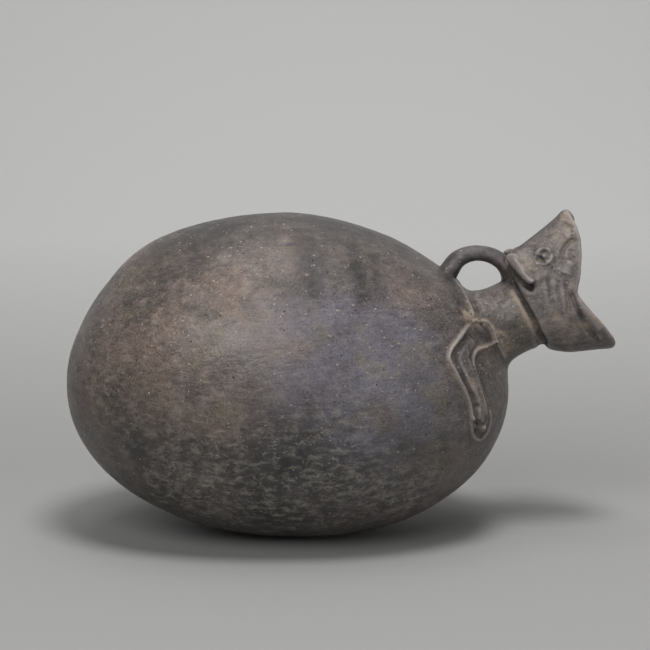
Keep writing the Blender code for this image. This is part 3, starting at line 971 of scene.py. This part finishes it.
clayFinish = {
    "ground": (0.101, 0.087, 0.085),
    "dark": (0.053, 0.045, 0.040),
    "sheenTint": (0.113, 0.105, 0.132),
    "warm": (0.150, 0.107, 0.086),
    "pale": (0.255, 0.196, 0.165),
    "olive": (0.135, 0.115, 0.064),
    "sootAndShade": (0.024, 0.022, 0.023),
    "crust": (0.290, 0.275, 0.230),
    "tan": (0.285, 0.236, 0.195),
    "sand": (0.290, 0.226, 0.172),
    "worn": (0.240, 0.212, 0.205),
    "white": (0.58, 0.56, 0.52),
}


def makeClayMaterial():
    material = bpy.data.materials.new("burnished blackware")
    n = Nodes(material)
    c = clayFinish
    along = n.place(stretch=(0.26, 0.26, 1.0))  # the burnishing runs lengthwise
    cloudy = n.noise(16, 3, 0.5)
    mottled = n.noise(60, 6, 0.62)
    patchy = n.noise(125, 5, 0.65, n.place(stretch=(0.8, 0.8, 1.0), shift=(0.1, 0.4, 0.2)), 0.4)
    grainy = n.noise(330, 4, 0.65, n.place(stretch=(0.7, 0.7, 1.0)))
    fine = n.noise(820, 3, 0.6)
    gritty = n.noise(1250, 3, 0.75, n.place(stretch=(0.8, 0.8, 1.0), shift=(0.5, 0.3, 0.9)))
    streaks = n.noise(520, 3, 0.6, along)
    strokes = n.noise(1100, 2, 0.6, n.place(stretch=(0.05, 0.05, 1.0), shift=(0.2, 0.1, 0.3)))

    # broad tones
    colour = n.blend(n.span(cloudy, 0.36, 0.64), c["dark"], c["ground"])
    # painted sheen: the slate-blue tone laid where the front light glances off the body
    colour = n.blend(n.times(n.value("slateSheen"), n.span(mottled, 0.32, 0.60, 0.45, 1.0)), colour, c["sheenTint"])
    colour = n.blend(n.times(n.value("warmth"), n.span(mottled, 0.34, 0.60, 0.25, 0.95)), colour, c["warm"])
    islands = n.noise(34, 5, 0.6, n.place(shift=(0.3, 0.1, 0.2)))
    colour = n.blend(n.span(islands, 0.54, 0.70, 0.0, 0.60), colour, c["warm"])
    colour = n.blend(n.span(islands, 0.46, 0.32, 0.0, 0.65), colour, c["dark"])
    moss = n.noise(45, 4, 0.6, n.place(shift=(0.7, 0.2, 0.5)))
    colour = n.blend(n.span(moss, 0.56, 0.70, 0.0, 0.60), colour, c["olive"])

    # smaller mottling, calmer under the painted sheen
    calm = n.span(n.value("slateSheen"), 0.0, 1.0, 1.0, 0.45)
    colour = n.blend(n.times(calm, n.span(patchy, 0.48, 0.33, 0.0, 0.75)), colour, c["dark"])
    light = n.times(calm, n.plus(n.times(n.value("warmth"), 0.45), 0.24))
    colour = n.blend(n.times(n.span(patchy, 0.54, 0.70), light), colour, c["pale"])
    colour = n.blend(n.times(calm, n.span(grainy, 0.46, 0.30, 0.0, 0.65)), colour, c["sootAndShade"])
    colour = n.blend(n.times(calm, n.span(grainy, 0.55, 0.74, 0.0, 0.50)), colour, c["tan"])
    colour = n.blend(n.span(streaks, 0.56, 0.74, 0.0, 0.26), colour, c["worn"])
    colour = n.blend(n.span(streaks, 0.43, 0.28, 0.0, 0.38), colour, c["sootAndShade"])
    colour = n.blend(n.span(strokes, 0.62, 0.80, 0.0, 0.32), colour, c["worn"])
    colour = n.blend(n.span(gritty, 0.47, 0.34, 0.0, 0.55), colour, c["sootAndShade"])
    colour = n.blend(n.times(calm, n.span(gritty, 0.54, 0.68, 0.0, 0.42)), colour, c["tan"])
    colour = n.blend(n.span(fine, 0.60, 0.72, 0.0, 0.35), colour, c["crust"])

    # soot, with painted shade along the top and low on the body, and the crust of the ground it lay in,
    # with the marks of rootlets
    colour = n.blend(n.times(n.value("sootAndShade"), n.span(mottled, 0.62, 0.40, 0.35, 0.90)), colour, c["sootAndShade"])
    crust = n.noise(300, 6, 0.75, n.place(stretch=(0.5, 0.5, 1.0)))
    crusted = n.times(n.value("crust"), n.span(crust, 0.50, 0.64))
    colour = n.blend(n.times(n.value("crust"), n.span(crust, 0.50, 0.38, 0.0, 0.60)), colour, c["sootAndShade"])
    colour = n.blend(n.times(crusted, 0.60), colour, c["crust"])
    lying = n.rootlets(95, (0.4, 0.2, 0.1), (0.45, 0.45, 1.0))
    rootlets = n.plus(lying, n.rootlets(110, (0.1, 0.7, 0.6), (1.0, 1.0, 0.4)))
    veil = n.plus(n.times(n.value("crust"), 0.60), 0.10)
    rooted = n.times(n.times(rootlets, veil), n.span(n.noise(190, 2, 0.5), 0.47, 0.57, 0.0, 0.6))
    colour = n.blend(rooted, colour, c["crust"])

    # worn edges, painted shade in the hollows and creases, soot bars and dust
    colour = n.blend(n.times(n.value("wear"), n.span(mottled, 0.30, 0.55, 0.35, 0.9)), colour, c["worn"])
    # painted shade in the hollows
    colour = n.blend(n.times(n.value("hollow"), 0.65), colour, c["sootAndShade"])
    # painted shade along the creases, grooves and pits, the crown and the strap, and the soot bars on the
    # body
    colour = n.blend(n.times(n.value("paintedShadeAndSoot"), n.span(grainy, 0.70, 0.40, 0.45, 0.92)), colour, c["sootAndShade"])
    dust = n.plus(n.times(n.value("hollow"), n.span(mottled, 0.46, 0.62, 0.0, 0.45)),
                  n.times(n.value("dust"), n.span(grainy, 0.36, 0.58, 0.15, 0.85)))
    colour = n.blend(dust, colour, c["sand"])
    flecks = n.specks(460, 0.24, n.place(stretch=(0.6, 0.6, 1.0)), keep=0.20)
    colour = n.blend(n.times(flecks, 0.75), colour, c["tan"])
    glints = n.specks(700, 0.20, keep=0.045)
    whites = n.plus(n.specks(150, 0.08, keep=0.03), glints)
    colour = n.blend(n.times(whites, 0.85), colour, c["white"])
    pits = n.specks(300, 0.20, keep=0.12)
    colour = n.blend(n.times(pits, 0.8), colour, c["sootAndShade"])
    n.join(colour, n.shader.inputs["Base Color"])

    rough = n.plus(n.span(mottled, 0.3, 0.7, 0.31, 0.50), n.times(crusted, 0.25))
    rough = n.plus(rough, n.span(streaks, 0.4, 0.7, -0.05, 0.07))
    rough = n.plus(rough, n.times(n.plus(n.value("hollow"), n.value("dust")), 0.3))
    n.join(rough, n.shader.inputs["Roughness"])
    n.shader.inputs["Specular IOR Level"].default_value = 0.5

    relief = n.plus(n.times(streaks, 0.40), n.times(fine, 0.35))
    coarse = n.plus(n.times(mottled, 0.9), n.plus(n.times(grainy, 0.8), n.times(gritty, 0.3)))
    relief = n.plus(relief, coarse)
    relief = n.plus(relief, n.times(pits, -0.9))
    relief = n.plus(relief, n.times(n.plus(flecks, whites), 0.25))
    relief = n.plus(relief, n.times(n.plus(crusted, rooted), 0.3))
    bump = n.add("ShaderNodeBump", {"Height": relief, "Distance": 0.00040, "Strength": 0.8})
    n.join(bump.outputs[0], n.shader.inputs["Normal"])
    return material


print("finishing the clay")
clay.data.materials.clear()
clay.data.materials.append(makeClayMaterial())
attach(clay, "root")
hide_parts("bottle")

# The sweep, the camera and the lights

studio = {
    # the paper is painted darker on the floor and lighter on the wall, as the light falls on them
    "paperFloorShaded": (0.262, 0.262, 0.258),
    "paperWallLit": (0.375, 0.375, 0.372),
    "floorSize": 3.0,
    "wallHeight": 2.2,
    "foldAt": 0.58,
    "foldRadius": 0.45,
    "foldSteps": 40,
    "target": (0.00915, 0.0, 0.10515),
    "elevation": 9,
    "lens": 110,
    "sensor": 36,
    "viewWidth": 0.325,
    # place, point it is turned to, size and power
    "lights": {
        "topLight": ((0.14, -0.44, 1.32), (0.0, 0.0, 0.08), 0.42, 14.0),
        "keyLight": ((-0.40, -1.05, 0.90), (0.0, 0.0, 0.08), 0.9, 9.0),
        "fillLight": ((0.90, -1.00, 0.30), (0.05, 0.0, 0.06), 0.8, 2.6),
        "sweepLight": ((0.0, 0.10, 1.9), (0.0, 1.0, 0.5), 1.2, 11.0),
    },
    "roomLight": ((0.98, 0.99, 1.0, 1), 0.12),
}


def pickEdges(mesh, wanted):
    # selects the edges whose two ends are wanted
    picked = [wanted(vertex.co) for vertex in mesh.vertices]
    for face in mesh.polygons:
        face.select = False
    for vertex, chosen in zip(mesh.vertices, picked):
        vertex.select = chosen
    for edge in mesh.edges:
        edge.select = all(picked[index] for index in edge.vertices)


def makeSweep():
    # a floor whose far edge is drawn up into a wall, with a round fold between them
    foldAt, floorSize = studio["foldAt"], studio["floorSize"]
    bpy.ops.mesh.primitive_plane_add(size=floorSize, location=(0, foldAt - floorSize / 2, 0))
    sweep = bpy.context.object
    sweep.name = "paperSweep"
    bpy.ops.object.transform_apply(location=True)
    bpy.context.tool_settings.mesh_select_mode = (False, True, False)
    pickEdges(sweep.data, lambda place: place.y > foldAt - 0.01)
    bpy.ops.object.mode_set(mode="EDIT")
    bpy.ops.mesh.extrude_region_move(TRANSFORM_OT_translate={"value": (0, 0, studio["wallHeight"])})
    bpy.ops.object.mode_set(mode="OBJECT")
    pickEdges(sweep.data, lambda place: place.y > foldAt - 0.01 and abs(place.z) < 0.01)
    bpy.ops.object.mode_set(mode="EDIT")
    bpy.ops.mesh.bevel(offset=studio["foldRadius"], segments=studio["foldSteps"])
    bpy.ops.object.mode_set(mode="OBJECT")
    sweep.data.shade_smooth()
    paper = bpy.data.materials.new("pale paper")
    n = Nodes(paper)
    height = n.add("ShaderNodeSeparateXYZ", {"Vector": n.place()}).outputs["Z"]
    grain = n.noise(900, 3, 0.6)
    # painted light and shade: the paper is lighter on the wall than on the floor
    colour = n.blend(n.span(height, 0.0, 0.10), studio["paperFloorShaded"], studio["paperWallLit"])
    n.join(colour, n.shader.inputs["Base Color"])
    n.join(n.add("ShaderNodeBump", {"Height": grain, "Distance": 0.0003, "Strength": 0.25}).outputs[0],
           n.shader.inputs["Normal"])
    n.shader.inputs["Roughness"].default_value = 0.9
    # the paper shows from its front alone, so the clay can be looked at from behind too
    fromBehind = n.add("ShaderNodeNewGeometry").outputs["Backfacing"]
    unseen = n.add("ShaderNodeBsdfTransparent").outputs[0]
    surface = n.add("ShaderNodeMixShader", {0: fromBehind, 1: n.shader.outputs[0], 2: unseen})
    n.join(surface.outputs[0], n.tree.nodes["Material Output"].inputs["Surface"])
    sweep.data.materials.append(paper)


def addLight(name, location, aim, size, power):
    bpy.ops.object.light_add(type="AREA", location=location)
    lamp = bpy.context.object
    lamp.name = name
    lamp.data.shape = "DISK"
    lamp.data.size = size
    lamp.data.energy = power
    lamp.rotation_euler = (Vector(aim) - Vector(location)).to_track_quat("-Z", "Y").to_euler()


print("sweep, camera and lights")
bpy.ops.object.select_all(action="DESELECT")
makeSweep()
lift = math.radians(studio["elevation"])
target = Vector(studio["target"])
back = Vector((0, -math.cos(lift), math.sin(lift)))
distance = studio["viewWidth"] / studio["sensor"] * studio["lens"]
bpy.ops.object.camera_add(location=target + back * distance)
camera = bpy.context.object
camera.name = "camera"
camera.rotation_euler = (-back).to_track_quat("-Z", "Y").to_euler()
camera.data.lens = studio["lens"]
camera.data.sensor_width = studio["sensor"]
camera.data.clip_start = 0.01
bpy.context.scene.camera = camera
for name, settings in studio["lights"].items():
    addLight(name, *settings)
bpy.data.objects["topLight"].visible_glossy = False
world = bpy.data.worlds.new("soft room")
bpy.context.scene.world = world
world.use_nodes = True
for socket, value in zip(world.node_tree.nodes["Background"].inputs, studio["roomLight"]):
    socket.default_value = value
bpy.context.scene.view_settings.view_transform = "Standard"
